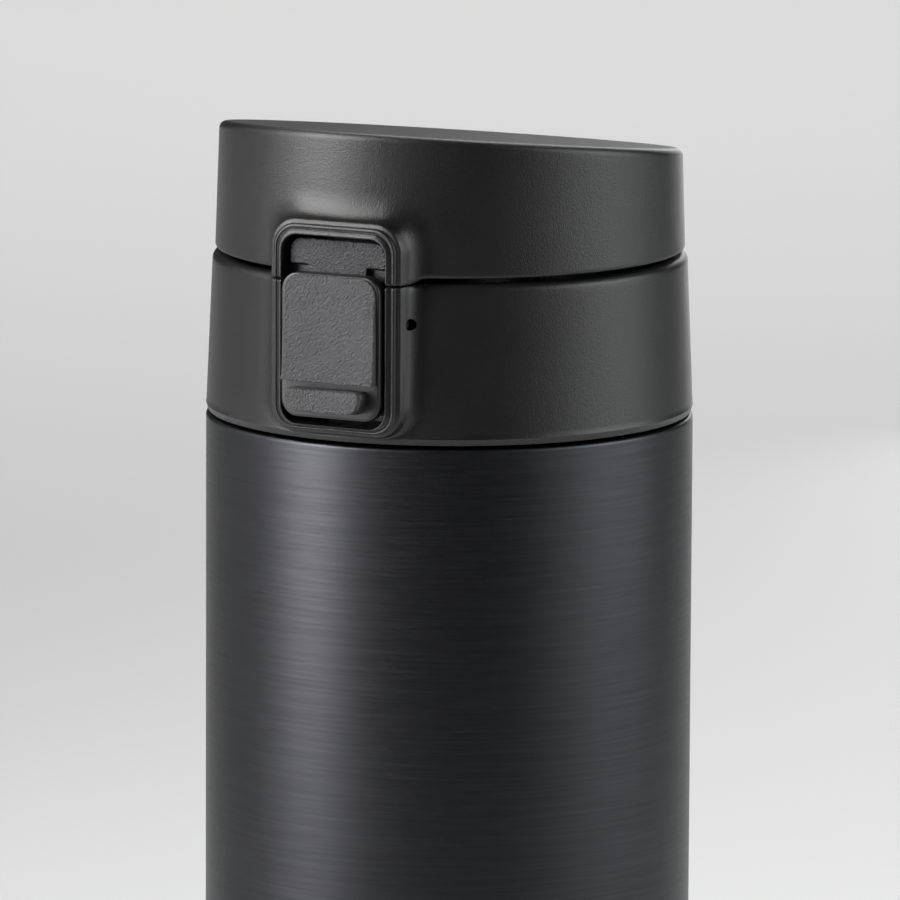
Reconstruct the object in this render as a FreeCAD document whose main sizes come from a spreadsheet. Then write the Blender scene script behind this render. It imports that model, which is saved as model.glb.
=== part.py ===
"""Vacuum flask with a one-touch flip lid, as a parametric FreeCAD document.

Millimetres, +Z up, origin at the centre of the base. The latch is at the front (-Y), the lid hinge at
the back (+Y). The cap's pieces are drawn from the seam between bottle and cap, where their own Z is 0.
"""
import FreeCAD, Part
import os
import re
import Sketcher

from FreeCAD import Placement, Rotation, Vector

# Driving dimensions: name, value in mm (degrees where the name says so), what it is.
SIZES = [
    ("body_radius", 33.1, "outside of the bottle"),
    ("seam_height", 178.0, "seam between bottle and cap, above the table"),
    ("shell_wall", 0.6, "outer shell sheet"),
    ("shell_foot", 0.6, "lowest edge of the outer shell"),
    ("shoulder_drop", 0.1, "flat shoulder below the seam"),
    ("shoulder_round", 0.55, "rounding at the top edge of the bottle"),
    ("foot_round", 1.8, "rounding at the bottom edge of the bottle"),
    ("base_outer", 31.4, "foot of the base plate's upturned rim"),
    ("base_dish", 29.3, "step between the base plate's rim and its dish"),
    ("base_rest", 1.9, "underside of the base plate's dish"),
    ("base_sheet", 0.6, "base plate sheet"),
    ("base_rim_top", 3.1, "top of the base plate's rim"),
    ("seal_hole", 1.0, "evacuation hole in the base plate"),
    ("seal_radius", 2.2, "head of the vacuum seal"),
    ("pad_radius", 28.0, "edge of the foot pad"),
    ("pad_hollow", 3.0, "hollow over the vacuum seal"),
    ("foil_gap", 0.1, "foil sleeve off the inner vessel"),
    ("foil_sheet", 0.2, "foil sleeve"),
    ("foil_bottom", 14.0, "lower edge of the foil sleeve"),
    ("getter_radius", 3.2, "edge of the getter"),
    ("getter_height", 4.2, "top of the getter"),
    ("getter_offset", 14.0, "getter from the axis"),
    ("vessel_radius", 30.4, "outside of the inner vessel"),
    ("vessel_wall", 0.5, "inner vessel sheet"),
    ("vessel_floor", 6.0, "underside of the inner vessel"),
    ("vessel_floor_round", 5.0, "rounding of the inner vessel's floor"),
    ("neck_radius", 23.6, "outside of the neck, at the root of its thread"),
    ("neck_wall", 0.5, "each sheet of the neck"),
    ("mouth_radius", 22.1, "inside of the mouth"),
    ("neck_height", 12.0, "top of the outer neck above the seam"),
    ("lip_height", 0.5, "rolled lip on the neck"),
    ("thread_lead", 6.0, "rise of the thread in one turn"),
    ("thread_depth", 1.0, "height of the thread ridge"),
    ("thread_base", 1.8, "width of the ridge at its root"),
    ("thread_crest", 0.8, "width of the ridge at its crest"),
    ("neck_thread_start", 4.2, "middle of the neck ridge at its start, above the seam"),
    ("cap_thread_start", 2.1, "middle of the cap ridge at its start, above the seam"),
    ("thread_turns", 1.1, "turns of each ridge"),
    ("skirt_bore", 24.95, "inside of the cap's thread skirt"),
    ("skirt_radius", 26.4, "outside of the cap's thread skirt"),
    ("skirt_bottom", 1.2, "lower edge of the thread skirt"),
    ("deck_bottom", 13.2, "underside of the cap's deck"),
    ("deck_top", 15.2, "top of the cap's deck"),
    ("deck_radius", 30.5, "edge of the deck"),
    ("stopper_bore", 19.0, "inside of the stopper wall"),
    ("stopper_radius", 20.4, "outside of the stopper wall"),
    ("stopper_rib", 21.6, "edge of the ribs that hold the neck gasket"),
    ("stopper_bottom", 1.0, "lower edge of the stopper"),
    ("gasket_radius", 21.8, "edge of the neck gasket"),
    ("gasket_bore", 20.7, "bore of the neck gasket"),
    ("collar_bottom", 0.27, "lower edge of the collar"),
    ("collar_top", 22.05, "upper edge of the collar"),
    ("collar_bottom_radius", 33.1, "collar at its lower edge"),
    ("collar_top_radius", 32.2, "collar at its upper edge"),
    ("collar_bore", 30.6, "inside of the collar"),
    ("lid_bottom", 22.7, "lower edge of the lid"),
    ("lid_bottom_radius", 31.87, "lid at its lower edge"),
    ("lid_top_radius", 31.12, "lid at its top edge"),
    ("lid_front_top", 41.65, "top of the lid at its front edge"),
    ("lid_back_top", 33.87, "top of the lid at its back edge"),
    ("lid_wall", 1.9, "lid shell wall"),
    ("lid_top_round", 1.1, "rounding of the lid's top edge"),
    ("edge_round", 0.4, "small rounding of moulded edges"),
    ("boss_face", 34.2, "front face of the latch frame, from the axis"),
    ("boss_half", 9.7, "half width of the latch frame"),
    ("boss_bottom", 0.9, "lower edge of the latch frame"),
    ("boss_top", 29.9, "upper edge of the latch frame"),
    ("boss_round", 3.6, "corner rounding of the frame outline"),
    ("frame_split", 21.7, "top of the collar's half of the frame"),
    ("frame_gap", 0.25, "gap between the two halves of the frame"),
    ("window_half", 7.75, "half width of the frame's window"),
    ("window_bottom", 2.6, "lower edge of the window"),
    ("window_top", 27.95, "upper edge of the window"),
    ("window_round", 2.4, "corner rounding of the window"),
    ("pocket_back", 27.6, "back wall of the latch pocket, from the axis"),
    ("pocket_wall", 1.0, "thickness of the pocket's back wall"),
    ("latch_pivot", 31.7, "latch pin, from the axis"),
    ("latch_pivot_height", 16.6, "latch pin above the seam"),
    ("latch_pin_radius", 0.75, "latch pin"),
    ("lever_front", 32.95, "front face of the latch lever, from the axis"),
    ("lever_back", 31.15, "back face of the latch lever, from the axis"),
    ("lever_bottom", 4.3, "lower edge of the latch lever"),
    ("lever_top", 27.27, "top of the lever's head"),
    ("head_half", 7.1, "half width of the lever's T head"),
    ("head_bottom", 23.87, "underside of the T head"),
    ("neck_half", 4.3, "half width of the lever's neck"),
    ("hook_back", 30.9, "back of the hook on the T head, from the axis"),
    ("slider_back", 33.25, "back face of the lock slider, from the axis"),
    ("slider_top_face", 35.1, "front face of the slider at its top"),
    ("slider_low_face", 36.0, "front face of the slider at its lower edge"),
    ("slider_top", 22.98, "top of the slider"),
    ("slider_bottom", 3.6, "bottom of the slider"),
    ("slider_half", 7.4, "half width of the slider"),
    ("ledge_reach", 37.8, "front of the thumb ledge, from the axis"),
    ("ledge_half", 5.5, "half width of the thumb ledge"),
    ("ledge_top", 7.9, "top of the thumb ledge"),
    ("ledge_bottom", 4.5, "lower edge of the thumb ledge"),
    ("lock_travel", 3.3, "how far the slider moves up to lock"),
    ("rib_half", 1.2, "half width of the slider's rib"),
    ("rib_bottom", 8.6, "lower edge of the slider's rib"),
    ("rib_top", 11.4, "upper edge of the slider's rib"),
    ("clip_front", 30.85, "front of the slider clip, from the axis"),
    ("clip_back", 30.0, "back of the slider clip, from the axis"),
    ("hinge_distance", 33.4, "lid hinge pin, from the axis"),
    ("hinge_height", 22.4, "lid hinge pin above the seam"),
    ("knuckle_radius", 2.4, "hinge knuckles"),
    ("hinge_pin_radius", 0.9, "lid hinge pin"),
    ("lid_knuckle_from", 3.9, "inner end of the lid's knuckles"),
    ("lid_knuckle_to", 7.35, "outer end of the lid's knuckles"),
    ("lug_from", 7.7, "inner end of the collar's hinge lugs"),
    ("lug_to", 11.2, "outer end of the collar's hinge lugs"),
    ("spout_offset", 4.0, "spout axis in front of the flask's axis"),
    ("spout_bore", 9.5, "inside of the spout"),
    ("spout_top", 27.9, "rim of the spout"),
    ("spout_hole", 12.4, "hole for the spout in the deck"),
    ("liner_radius", 29.3, "outside of the lid liner's rim"),
    ("liner_edge", 29.6, "edge of the liner's plate, held in the lid shell"),
    ("liner_bottom", 23.2, "lower edge of the lid liner"),
    ("liner_plate", 30.4, "underside of the liner's plate"),
]
NAMES = {name for name, value, note in SIZES}

doc = FreeCAD.newDocument("VacuumFlask")
spec = doc.addObject("Spreadsheet::Sheet", "Spec")
for row, (name, value, note) in enumerate(SIZES, start=1):
    spec.set(f"A{row}", name)
    spec.set(f"B{row}", str(value))
    spec.setAlias(f"B{row}", name)
    spec.set(f"C{row}", note)
doc.recompute()


def bound(text):
    """An expression with its dimension names turned into references to the sheet."""
    def reference(match):
        word = match.group()
        return f"Spec.{word}" if word in NAMES else word
    return re.sub(r"[a-z][a-z_]*", reference, str(text))


def size(text):
    """The value of an expression of dimension names, in mm."""
    return float(doc.getObject("Spec").evalExpression(bound(text)))


# ---------------------------------------------------------------- drawing helpers

def new_body(name, height="0", forward="0"):
    """A body whose own origin is lifted by height and moved forward (towards -Y)."""
    body = doc.addObject("PartDesign::Body", name)
    body.Label = name
    body.setExpression("Placement.Base.z", bound(height))
    body.setExpression("Placement.Base.y", bound(f"-({forward})"))
    return body


def origin_feature(body, role):
    return next(feature for feature in body.Origin.OriginFeatures if feature.Role == role)


def sketch_polygon(body, name, role, points, offset="0"):
    """A closed polygon whose corners are bound to the sheet, on one of the body's origin planes."""
    sketch = body.newObject("Sketcher::SketchObject", name)
    sketch.AttachmentSupport = (origin_feature(body, role), [""])
    sketch.MapMode = "FlatFace"
    sketch.setExpression("AttachmentOffset.Base.z", bound(offset))
    corners = [Vector(size(across), size(up), 0) for across, up in points]
    count = len(corners)
    for index in range(count):
        sketch.addGeometry(Part.LineSegment(corners[index], corners[(index + 1) % count]), False)
    for index in range(count):
        sketch.addConstraint(Sketcher.Constraint("Coincident", index, 2, (index + 1) % count, 1))
    for index, (across, up) in enumerate(points):
        corner = corners[index]
        for kind, text, value in (("DistanceX", across, corner.x), ("DistanceY", up, corner.y)):
            number = sketch.addConstraint(Sketcher.Constraint(kind, -1, 1, index, 1, value))
            sketch.setExpression(f"Constraints[{number}]", bound(text))
    return sketch


def sketch_circle(body, name, role, centre, radius, offset="0"):
    sketch = body.newObject("Sketcher::SketchObject", name)
    sketch.AttachmentSupport = (origin_feature(body, role), [""])
    sketch.MapMode = "FlatFace"
    sketch.setExpression("AttachmentOffset.Base.z", bound(offset))
    middle = Vector(size(centre[0]), size(centre[1]), 0)
    sketch.addGeometry(Part.Circle(middle, Vector(0, 0, 1), size(radius)), False)
    for kind, text, value in (("DistanceX", centre[0], middle.x), ("DistanceY", centre[1], middle.y)):
        number = sketch.addConstraint(Sketcher.Constraint(kind, -1, 1, 0, 3, value))
        sketch.setExpression(f"Constraints[{number}]", bound(text))
    number = sketch.addConstraint(Sketcher.Constraint("Radius", 0, size(radius)))
    sketch.setExpression(f"Constraints[{number}]", bound(radius))
    return sketch


def revolve(body, name, points):
    """Turn a half section (radius, height) about the body's Z axis."""
    feature = body.newObject("PartDesign::Revolution", name)
    feature.Profile = sketch_polygon(body, name + "Section", "XZ_Plane", points)
    feature.ReferenceAxis = (origin_feature(body, "Z_Axis"), [""])
    feature.Angle = 360
    doc.recompute()
    return feature


def front_pad(body, name, points, start, end):
    """Extrude a front view (across, height) from start to end, both measured forward from the axis."""
    feature = body.newObject("PartDesign::Pad", name)
    feature.Profile = sketch_polygon(body, name + "Outline", "XZ_Plane", points, offset=start)
    feature.setExpression("Length", bound(f"({end}) - ({start})"))
    doc.recompute()
    return feature


def side_pad(body, name, points, start, end, kind="PartDesign::Pad"):
    """Extrude a side view (Y, height) along X from start to end."""
    feature = body.newObject(kind, name)
    feature.Profile = sketch_polygon(body, name + "Outline", "YZ_Plane", points, offset=start)
    feature.setExpression("Length", bound(f"({end}) - ({start})"))
    if kind == "PartDesign::Pocket":
        feature.Reversed = True
    doc.recompute()
    return feature


def cross_rod(body, name, centre, radius, start, end, kind="PartDesign::Pad"):
    """A round bar, or with kind Pocket a round hole, along X; centre is (Y, height)."""
    feature = body.newObject(kind, name)
    feature.Profile = sketch_circle(body, name + "Outline", "YZ_Plane", centre, radius, offset=start)
    feature.setExpression("Length", bound(f"({end}) - ({start})"))
    if kind == "PartDesign::Pocket":
        feature.Reversed = True
    doc.recompute()
    return feature


def round_edges(body, name, base, radius, wanted):
    """Fillet the edges of base whose middle point passes the test wanted."""
    edges = [f"Edge{number}" for number, edge in enumerate(base.Shape.Edges, start=1)
             if wanted(edge, edge.valueAt((edge.FirstParameter + edge.LastParameter) / 2))]
    feature = body.newObject("PartDesign::Fillet", name)
    feature.Base = (base, edges)
    feature.setExpression("Radius", bound(radius))
    doc.recompute()
    return feature


def box_outline(half, low, high):
    return [(f"-({half})", low), (half, low), (half, high), (f"-({half})", high)]


def is_line_along(edge, axis):
    if edge.Curve.TypeId != "Part::GeomLine":
        return False
    return abs(abs(edge.Curve.Direction.dot(axis)) - 1) < 1e-6


def is_circle(radius, height):
    """A test for the circular edges of one radius at one height above the body's origin."""
    def test(edge, middle):
        across = (middle.x ** 2 + middle.y ** 2) ** 0.5
        return abs(across - size(radius)) < 1e-3 and abs(middle.z - size(height)) < 1e-3
    return test


def join(name, shapes):
    fuse = doc.addObject("Part::MultiFuse", name)
    fuse.Shapes = shapes
    fuse.Label = name
    doc.recompute()
    return fuse


def cut(name, base, tool):
    result = doc.addObject("Part::Cut", name)
    result.Base = base
    result.Tool = tool
    result.Label = name
    doc.recompute()
    return result


def thread(body, name, base_radius, crest_radius, start):
    """A right-hand ridge on the body's Z axis, from its root to its crest."""
    half_base = "thread_base / 2"
    half_crest = "thread_crest / 2"
    section = [(base_radius, f"{start} - {half_base}"), (crest_radius, f"{start} - {half_crest}"),
               (crest_radius, f"{start} + {half_crest}"), (base_radius, f"{start} + {half_base}")]
    helix = body.newObject("PartDesign::AdditiveHelix", name)
    helix.Profile = sketch_polygon(body, name + "Section", "XZ_Plane", section)
    helix.ReferenceAxis = (origin_feature(body, "Z_Axis"), [""])
    helix.Mode = "pitch-turns-angle"
    helix.setExpression("Pitch", bound("thread_lead"))
    helix.setExpression("Turns", bound("thread_turns"))
    doc.recompute()
    return helix


# ---------------------------------------------------------------- bottle

def make_outer_shell():
    """Deep-drawn outer wall: turned-in foot, straight body, shoulder and threaded neck in one sheet."""
    body = new_body("outer_shell")
    inside = "body_radius - shell_wall"
    shoulder = "seam_height - shoulder_drop"
    shell = revolve(body, "Shell", [
        ("body_radius - 2.4", "shell_foot"), ("body_radius", "shell_foot"),
        ("body_radius", shoulder), ("neck_radius", shoulder),
        ("neck_radius", "seam_height + neck_height"),
        ("neck_radius - neck_wall", "seam_height + neck_height"),
        ("neck_radius - neck_wall", f"{shoulder} - shell_wall"), (inside, f"{shoulder} - shell_wall"),
        (inside, "shell_foot + shell_wall"), ("body_radius - 2.4", "shell_foot + shell_wall")])
    top = round_edges(body, "ShoulderRound", shell, "shoulder_round", is_circle("body_radius", shoulder))
    foot = round_edges(body, "FootRound", top, "foot_round", is_circle("body_radius", "shell_foot"))
    round_edges(body, "FootInside", foot, "foot_round - shell_wall",
                is_circle(inside, "shell_foot + shell_wall"))
    thread(body, "NeckThread", "neck_radius - 0.1", "neck_radius + thread_depth",
           "(seam_height + neck_thread_start)")
    return body


def make_inner_vessel():
    """Inner flask with its narrow neck; its lip is welded over the outer neck."""
    body = new_body("inner_vessel")
    neck_outside = "mouth_radius + neck_wall"
    lip = "seam_height + neck_height"
    wide = "vessel_radius - vessel_wall"
    slope_top = "seam_height - 4"
    slope_low = "seam_height - 10"
    vessel = revolve(body, "Vessel", [
        (neck_outside, lip), ("neck_radius", lip), ("neck_radius", f"{lip} + lip_height"),
        ("mouth_radius", f"{lip} + lip_height"), ("mouth_radius", f"{slope_top} - 0.2"),
        (wide, f"{slope_low} - 0.2"), (wide, "vessel_floor + vessel_wall"),
        ("0", "vessel_floor + vessel_wall"), ("0", "vessel_floor"), ("vessel_radius", "vessel_floor"),
        ("vessel_radius", slope_low), (neck_outside, slope_top)])
    outside = round_edges(body, "FloorRound", vessel, "vessel_floor_round",
                          is_circle("vessel_radius", "vessel_floor"))
    round_edges(body, "FloorInside", outside, "vessel_floor_round - vessel_wall",
                is_circle(wide, "vessel_floor + vessel_wall"))
    return body


def make_base_plate():
    """Dished steel disc that closes the bottom, with the small hole the air was drawn out through."""
    body = new_body("base_plate")
    rim = "body_radius - shell_wall - 0.02"
    low = "shell_foot + shell_wall"
    dish = "base_dish - base_sheet"
    revolve(body, "Plate", [
        ("seal_hole", "base_rest"), (f"{dish} - 0.3", "base_rest"), (f"{dish} + 0.3", low),
        ("base_outer - 0.2", low), (rim, "base_rim_top - base_sheet"), (rim, "base_rim_top"),
        ("base_outer", "base_rim_top"), ("base_outer - 0.4", f"{low} + base_sheet"),
        ("base_dish", f"{low} + base_sheet"), (dish, "base_rest + base_sheet"),
        ("seal_hole", "base_rest + base_sheet")])
    return body


def make_vacuum_seal():
    """Bead that plugs the evacuation hole from below."""
    body = new_body("vacuum_seal")
    shank = "seal_hole - 0.05"
    revolve(body, "Bead", [
        ("0", "base_rest - 0.7"), ("seal_radius - 0.6", "base_rest - 0.6"), ("seal_radius", "base_rest"),
        (shank, "base_rest"), (shank, "base_rest + base_sheet + 0.1"), ("0", "base_rest + base_sheet + 0.2")])
    return body


def make_foot_pad():
    """Soft disc under the base plate, hollowed over the vacuum seal."""
    body = new_body("foot_pad")
    top = "base_rest - 0.05"
    hollow = "base_rest - 1"
    revolve(body, "Pad", [
        ("0", "0"), ("pad_radius - 0.6", "0"), ("pad_radius", "0.6"), ("pad_radius", top),
        ("pad_hollow", top), ("pad_hollow", hollow), ("0", hollow)])
    return body


def make_radiation_foil():
    """Metal foil sleeve wrapped round the inner vessel in the vacuum space."""
    body = new_body("radiation_foil")
    inside = "vessel_radius + foil_gap"
    outside = f"{inside} + foil_sheet"
    top = "seam_height - 16"
    revolve(body, "Sleeve", [
        (inside, "foil_bottom"), (outside, "foil_bottom"), (outside, top), (inside, top)])
    return body


def make_getter():
    """Getter pellet in its cup, fixed on the base plate in the vacuum space."""
    body = new_body("getter", forward="-getter_offset")
    low = "base_rest + base_sheet + 0.05"
    pellet = "getter_height - 0.3"
    revolve(body, "Pellet", [
        ("0", low), ("getter_radius", low), ("getter_radius", "getter_height"),
        ("getter_radius - 0.6", "getter_height"), ("getter_radius - 0.9", pellet), ("0", pellet)])
    return body


# ---------------------------------------------------------------- cap

def make_collar():
    """Outer housing of the cap: ring, lower half of the latch frame with its pocket, hinge lugs."""
    ring = new_body("CollarRing", "seam_height")
    wall = revolve(ring, "Ring", [("collar_bore", "collar_bottom"), ("collar_bottom_radius", "collar_bottom"),
                                  ("collar_top_radius", "collar_top"), ("collar_bore", "collar_top")])
    low = round_edges(ring, "LowEdge", wall, "edge_round", is_circle("collar_bottom_radius", "collar_bottom"))
    round_edges(ring, "HighEdge", low, "1.5 * edge_round", is_circle("collar_top_radius", "collar_top"))

    frame = new_body("CollarFrame", "seam_height")
    block = front_pad(frame, "Block", box_outline("boss_half", "boss_bottom", "frame_split"),
                      "pocket_back - pocket_wall", "boss_face")
    round_edges(frame, "FrontEdges", block, "0.8",
                lambda edge, middle: abs(middle.y + size("boss_face")) < 1e-3
                and middle.z < size("frame_split - 0.5"))

    window = new_body("CollarWindow", "seam_height")
    opening = front_pad(window, "Opening", box_outline("window_half", "window_bottom", "collar_top + 5"),
                        "pocket_back", "boss_face + 5")
    round_edges(window, "Corners", opening, "window_round",
                lambda edge, middle: is_line_along(edge, Vector(0, 1, 0))
                and middle.z < size("window_bottom + 1"))

    holes = new_body("LatchPinHoles", "seam_height")
    cross_rod(holes, "Holes", ("-latch_pivot", "latch_pivot_height"), "latch_pin_radius + 0.02",
              "-boss_half - 4", "boss_half + 4")
    relief = new_body("KnuckleRelief", "seam_height")
    cross_rod(relief, "Relief", ("hinge_distance", "hinge_height"), "knuckle_radius + 0.4",
              "-lug_to - 0.3", "lug_to + 0.3")
    step = new_body("FrameStep", "seam_height")
    front_pad(step, "Step", box_outline("boss_half + 0.5", "frame_split", "collar_top + 1"),
              "collar_bore - 2", "boss_face + 1")

    blank = join("CollarBlank", [ring, frame])
    shell = cut("CollarShell", blank, join("CollarTools", [window, holes, relief, step]))
    lugs = [make_lug("LeftLug", "-lug_to", "-lug_from"), make_lug("RightLug", "lug_from", "lug_to")]
    return join("collar", [shell] + lugs)


def make_lug(name, start, end):
    """One hinge lug of the collar, with the hole that grips the hinge pin."""
    body = new_body(name, "seam_height")
    low = "hinge_height - 8"
    high = "hinge_height - 0.4"
    side_pad(body, "Web", [
        ("collar_bore + 0.2", low), ("hinge_distance - 1.1", low),
        ("hinge_distance + 1.65", "hinge_height - 1.75"), ("hinge_distance", high),
        ("collar_bore + 0.2", high)], start, end)
    cross_rod(body, "Knuckle", ("hinge_distance", "hinge_height"), "knuckle_radius", start, end)
    cross_rod(body, "PinHole", ("hinge_distance", "hinge_height"), "hinge_pin_radius + 0.02", start, end,
              "PartDesign::Pocket")
    return body


def make_cap_core():
    """Deck, thread skirt and stopper wall, moulded as one piece and held inside the collar."""
    core = new_body("CoreBlank", "seam_height")
    revolve(core, "Section", [
        ("0", "deck_bottom"), ("stopper_bore", "deck_bottom"), ("stopper_bore", "stopper_bottom"),
        ("stopper_rib", "stopper_bottom"), ("stopper_rib", "stopper_bottom + 1"),
        ("stopper_radius", "stopper_bottom + 1"), ("stopper_radius", "stopper_bottom + 4.2"),
        ("stopper_rib", "stopper_bottom + 4.2"), ("stopper_rib", "stopper_bottom + 5.2"),
        ("stopper_radius", "stopper_bottom + 5.8"), ("stopper_radius", "deck_bottom"),
        ("skirt_bore", "deck_bottom"), ("skirt_bore", "skirt_bottom"), ("skirt_radius", "skirt_bottom"),
        ("skirt_radius", "deck_bottom"), ("deck_radius", "deck_bottom"), ("deck_radius", "deck_top"),
        ("0", "deck_top")])
    thread(core, "CapThread", "skirt_bore + 0.1", "skirt_bore - thread_depth", "cap_thread_start")

    notch = new_body("PocketNotch", "seam_height")
    front_pad(notch, "Notch", box_outline("boss_half + 0.2", "deck_bottom - 1", "deck_top + 1"),
              "pocket_back - pocket_wall - 0.1", "boss_face")
    hole = new_body("SpoutHole", "seam_height", "spout_offset")
    revolve(hole, "Hole", [("0", "deck_bottom - 0.5"), ("spout_hole", "deck_bottom - 0.5"),
                           ("spout_hole", "deck_top + 0.5"), ("0", "deck_top + 0.5")])
    return cut("cap_core", core, join("CoreTools", [notch, hole]))


def make_spout():
    """Drinking mouthpiece: sleeve through the deck, flange on its gasket, tapered tube with a round rim."""
    body = new_body("spout", "seam_height", "spout_offset")
    tube = revolve(body, "Tube", [
        ("spout_bore", "deck_bottom - 1.2"), ("spout_bore + 1.7", "deck_bottom - 1.2"),
        ("spout_bore + 1.7", "deck_top + 0.8"), ("spout_bore + 4.6", "deck_top + 0.8"),
        ("spout_bore + 4.6", "deck_top + 2.2"), ("spout_bore + 2.8", "deck_top + 3.4"),
        ("spout_bore + 1.5", "spout_top"), ("spout_bore", "spout_top")])
    round_edges(body, "Rim", tube, "0.7",
                lambda edge, middle: abs(middle.z - size("spout_top")) < 1e-3)
    return body


def make_spout_gasket():
    """Flanged ring that seals the mouthpiece in the deck."""
    body = new_body("spout_gasket", "seam_height", "spout_offset")
    revolve(body, "Ring", [("spout_bore + 1.75", "deck_bottom"), ("spout_hole - 0.05", "deck_bottom"),
                           ("spout_hole - 0.05", "deck_top + 0.02"), ("spout_bore + 4.4", "deck_top + 0.02"),
                           ("spout_bore + 4.4", "deck_top + 0.78"), ("spout_bore + 1.75", "deck_top + 0.78")])
    return body


def make_neck_gasket():
    """Silicone ring on the stopper, with a thicker lip where it meets the mouth."""
    body = new_body("neck_gasket", "seam_height")
    low = "stopper_bottom + 1.3"
    high = "stopper_bottom + 3.9"
    revolve(body, "Ring", [
        ("gasket_bore", low), ("gasket_radius - 0.3", low), ("gasket_radius", f"{low} + 0.6"),
        ("gasket_radius - 0.2", f"{high} - 0.4"), ("gasket_radius - 0.6", high), ("gasket_bore", high)])
    return body


def make_hinge_pin():
    """Steel pin gripped by the collar's lugs."""
    body = new_body("hinge_pin", "seam_height")
    rod = cross_rod(body, "Pin", ("hinge_distance", "hinge_height"), "hinge_pin_radius",
                    "-lug_to + 0.3", "lug_to - 0.3")
    round_edges(body, "Ends", rod, "0.25", lambda edge, middle: edge.Closed)
    return body


def make_latch_pin():
    """Steel pin of the latch lever, through the side walls of the frame."""
    body = new_body("latch_pin", "seam_height")
    rod = cross_rod(body, "Pin", ("-latch_pivot", "latch_pivot_height"), "latch_pin_radius",
                    "-boss_half - 0.1", "boss_half + 0.1")
    round_edges(body, "Ends", rod, "0.2", lambda edge, middle: edge.Closed)
    return body


def make_coil(name, mean_radius, wire_radius, pitch, turns, placement):
    """A round-wire coil along its own Z axis, then placed."""
    body = doc.addObject("PartDesign::Body", name)
    body.Label = name
    helix = body.newObject("PartDesign::AdditiveHelix", "Coil")
    wire = str(wire_radius)
    helix.Profile = sketch_circle(body, "Wire", "XZ_Plane", (str(mean_radius), wire), wire)
    helix.ReferenceAxis = (origin_feature(body, "Z_Axis"), [""])
    helix.Mode = "pitch-turns-angle"
    helix.Pitch = pitch
    helix.Turns = turns
    body.Placement = placement
    doc.recompute()
    return body


def make_lid_spring():
    """Torsion spring round the hinge pin, between the lid's knuckles."""
    length = size("2 * lid_knuckle_from") - 1.0
    wire = 0.35
    turns = 7
    pitch = (length - 2 * wire) / turns
    start = Vector(-length / 2, size("hinge_distance"), size("seam_height + hinge_height"))
    return make_coil("lid_spring", 1.5, wire, pitch, turns, Placement(start, Rotation(Vector(0, 1, 0), 90)))


def make_latch_spring():
    """Compression spring between the pocket's back wall and the foot of the lever."""
    wire = 0.25
    turns = 3.5
    gap = 0.05
    length = size("lever_back - pocket_back") - 2 * gap
    pitch = (length - 2 * wire) / turns
    start = Vector(0, -size("pocket_back") - gap, size("seam_height + lever_bottom") + 1.7)
    return make_coil("latch_spring", 1.2, wire, pitch, turns, Placement(start, Rotation(Vector(1, 0, 0), 90)))


# ---------------------------------------------------------------- lid

def lid_solid(name, bottom, bottom_radius, top_radius, inset):
    """A tapered round block under the sloping top plane, lowered by inset."""
    body = new_body(name, "seam_height")
    high = "lid_front_top + 4"
    block = revolve(body, "Block", [("0", bottom), (bottom_radius, bottom), (top_radius, high), ("0", high)])
    slope = "(lid_front_top - lid_back_top) / (2 * lid_top_radius)"
    far = "(lid_top_radius + 4)"
    middle = f"(lid_front_top + lid_back_top) / 2 - ({inset})"
    side_pad(body, "Slope", [
        (f"-{far}", f"{middle} + {far} * {slope}"), (far, f"{middle} - {far} * {slope}"),
        (far, "lid_front_top + 9"), (f"-{far}", "lid_front_top + 9")],
        "-lid_top_radius - 4", "lid_top_radius + 4", "PartDesign::Pocket")
    return body


def make_lid_shell():
    """Outer lid: tapered wall, sloping top, upper half of the latch frame, tongues for the hook, knuckles."""
    outer = lid_solid("LidBlock", "lid_bottom", "lid_bottom_radius", "lid_top_radius", "0")
    lifted = size("lid_back_top") - 2
    top = round_edges(outer, "TopRound", outer.Tip, "lid_top_round",
                      lambda edge, middle: middle.z > lifted and edge.Closed)
    round_edges(outer, "LowEdge", top, "edge_round", is_circle("lid_bottom_radius", "lid_bottom"))
    cavity = lid_solid("LidCavity", "lid_bottom - 1", "lid_bottom_radius - lid_wall",
                       "lid_top_radius - lid_wall", "lid_wall")

    frame = new_body("LidFrame", "seam_height")
    block = front_pad(frame, "Block", box_outline("boss_half", "frame_split + frame_gap", "boss_top"),
                      "liner_radius + 0.3", "boss_face")
    corners = round_edges(frame, "Corners", block, "boss_round",
                          lambda edge, middle: is_line_along(edge, Vector(0, 1, 0))
                          and middle.z > size("boss_top - 1"))
    round_edges(frame, "FrontEdges", corners, "0.8",
                lambda edge, middle: abs(middle.y + size("boss_face")) < 1e-3
                and middle.z > size("frame_split + frame_gap + 0.5"))

    window = new_body("LidWindow", "seam_height")
    opening = front_pad(window, "Opening", box_outline("window_half", "lid_bottom - 4", "window_top"),
                        "liner_radius - 1", "boss_face + 5")
    round_edges(window, "Corners", opening, "window_round",
                lambda edge, middle: is_line_along(edge, Vector(0, 1, 0))
                and middle.z > size("window_top - 1"))
    relief = new_body("LugRelief", "seam_height")
    cross_rod(relief, "Relief", ("hinge_distance", "hinge_height"), "knuckle_radius + 0.35",
              "-lug_to - 0.4", "lug_to + 0.4")

    wall = cut("LidWall", outer, cavity)
    shell = cut("LidShell", join("LidBlank", [wall, frame]), join("LidTools", [window, relief]))
    tongues = [make_tongue("LeftTongue", "-window_half - 0.2", "-neck_half - 0.4"),
               make_tongue("RightTongue", "neck_half + 0.4", "window_half + 0.2")]
    knuckles = [make_knuckle("LeftKnuckle", "-lid_knuckle_to", "-lid_knuckle_from"),
                make_knuckle("RightKnuckle", "lid_knuckle_from", "lid_knuckle_to")]
    return join("lid_shell", [shell] + tongues + knuckles)


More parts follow.
